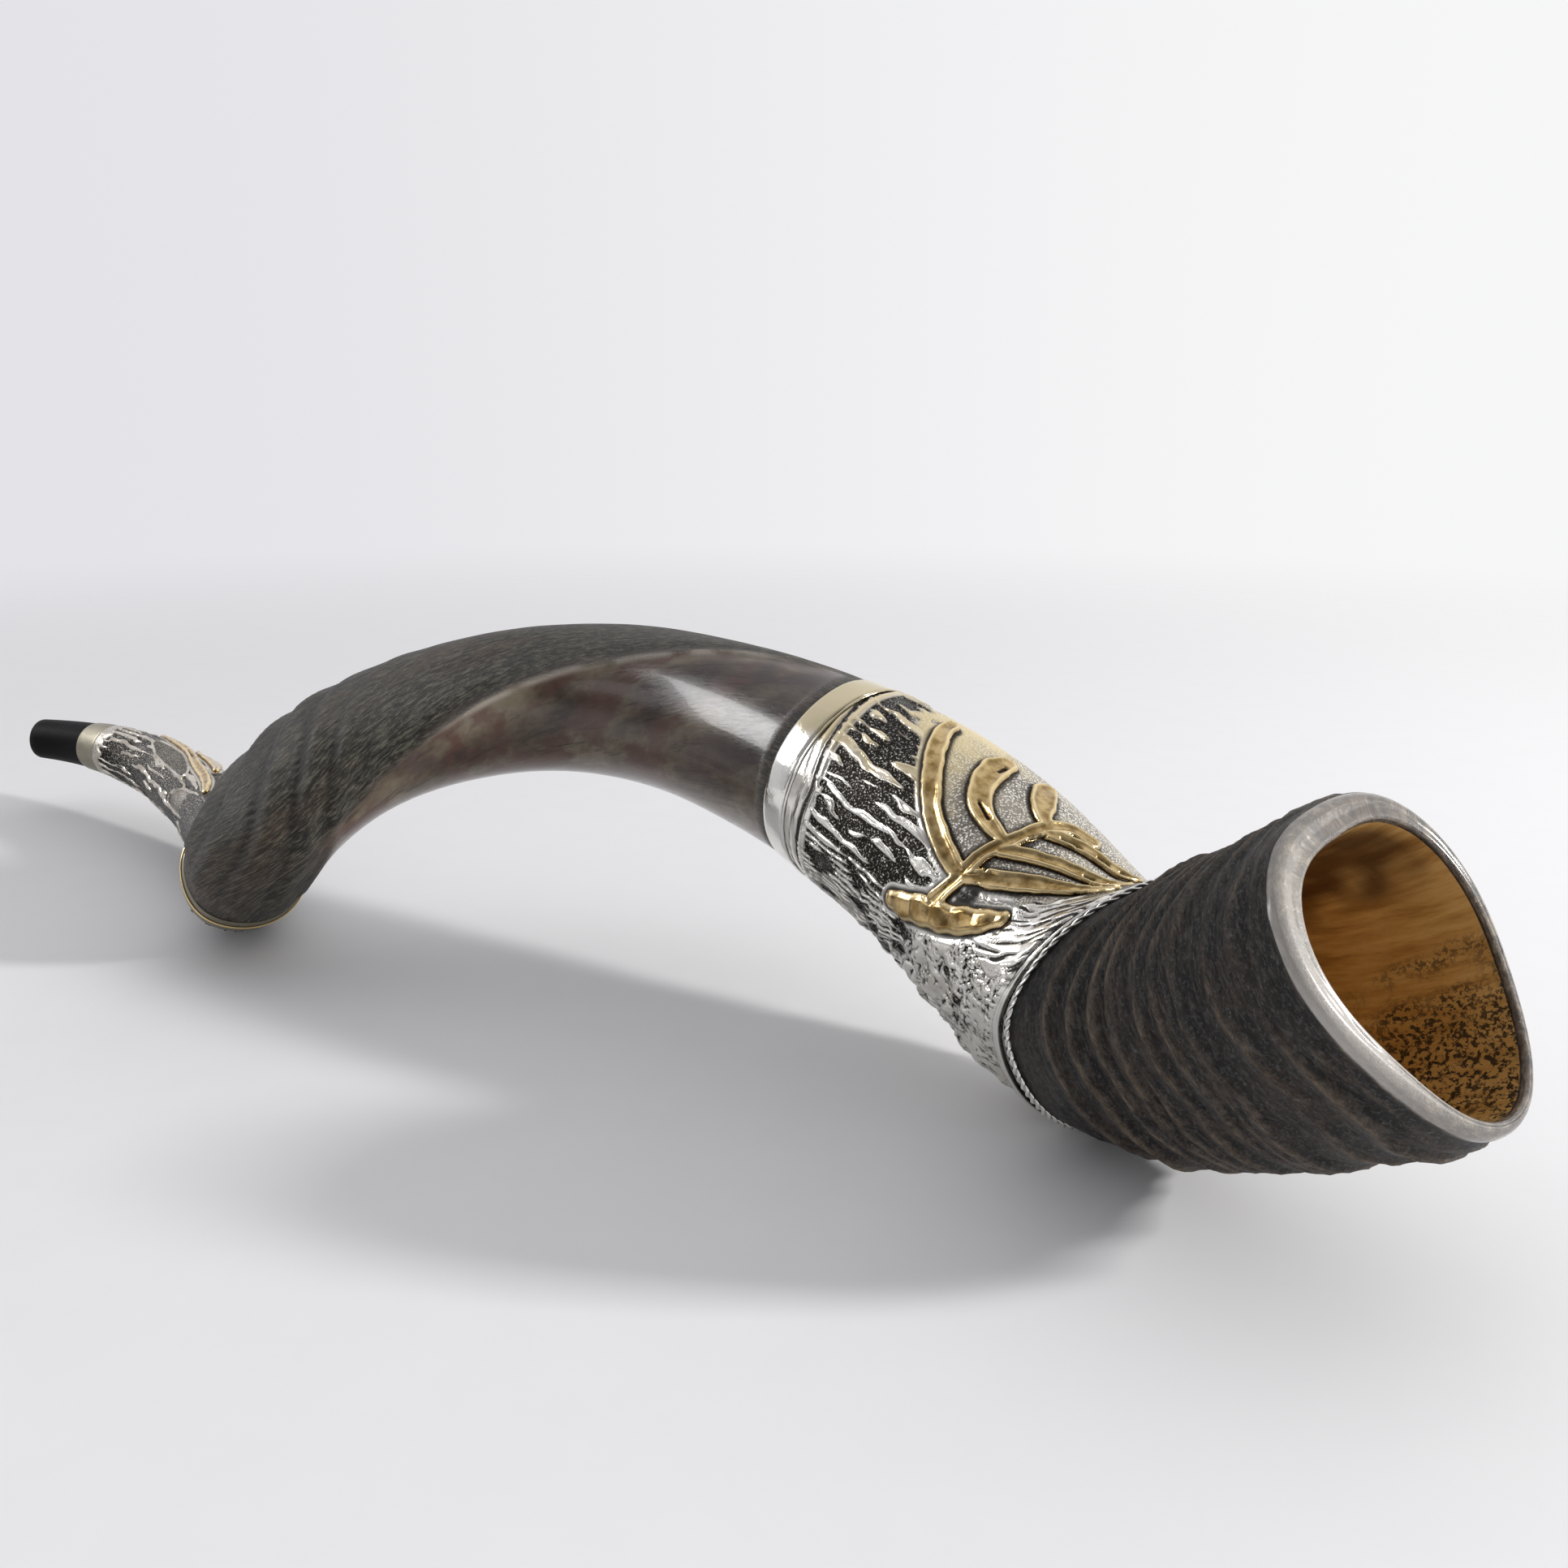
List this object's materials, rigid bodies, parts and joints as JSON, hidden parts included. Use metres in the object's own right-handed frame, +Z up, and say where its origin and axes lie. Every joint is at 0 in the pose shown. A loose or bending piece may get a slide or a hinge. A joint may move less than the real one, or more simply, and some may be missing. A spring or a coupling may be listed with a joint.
{
  "type": "shofar",
  "caption": "Long spiral ram-type horn trumpet with a drilled mouth cup, a flared bell, and embossed silver sleeves with a gilt lampstand relief.",
  "frame": {"origin": "bottom centre of the object's bounding box, on the surface that it lies on", "axes": "+Z up as it lies; +X along its length, from the mouthpiece to the bell; -Y is the side that carries the foot of the lampstand relief"},
  "size_m": [0.7784, 0.1794, 0.1361],
  "materials": {
    "horn": "horn keratin: polished on the keel's inner side, matt and fibrous outside, ridged and dark at the bell, ochre inside",
    "embossed_silver": "bark-embossed silver, oxidised black in the recesses, polished on the ridges",
    "plain_silver": "polished silver",
    "gilt": "gilded, polished high spots",
    "adhesive": "set resin"
  },
  "bodies": {
    "root": {"horn": "horn", "bell_sleeve": "embossed_silver", "mouthpiece_sleeve": "embossed_silver", "bell_sleeve_upper_band": "plain_silver", "bell_sleeve_upper_wire": "plain_silver", "bell_sleeve_lower_wire": "plain_silver", "bell_sleeve_rope_edge": "plain_silver", "mouthpiece_sleeve_tip_band": "plain_silver", "mouthpiece_sleeve_lower_band": "plain_silver", "lampstand_base": "gilt", "lampstand_stem": "gilt", "lampstand_left_outer_branch": "gilt", "lampstand_left_middle_branch": "gilt", "lampstand_left_inner_branch": "gilt", "lampstand_right_inner_branch": "gilt", "lampstand_right_middle_branch": "gilt", "lampstand_right_outer_branch": "gilt", "mouthpiece_sleeve_gilt_stem": "gilt", "mouthpiece_sleeve_gilt_leaf": "gilt", "mouthpiece_sleeve_gilt_wire": "gilt", "bell_sleeve_adhesive": "adhesive", "mouthpiece_sleeve_adhesive": "adhesive"}
  },
  "joints": []
}
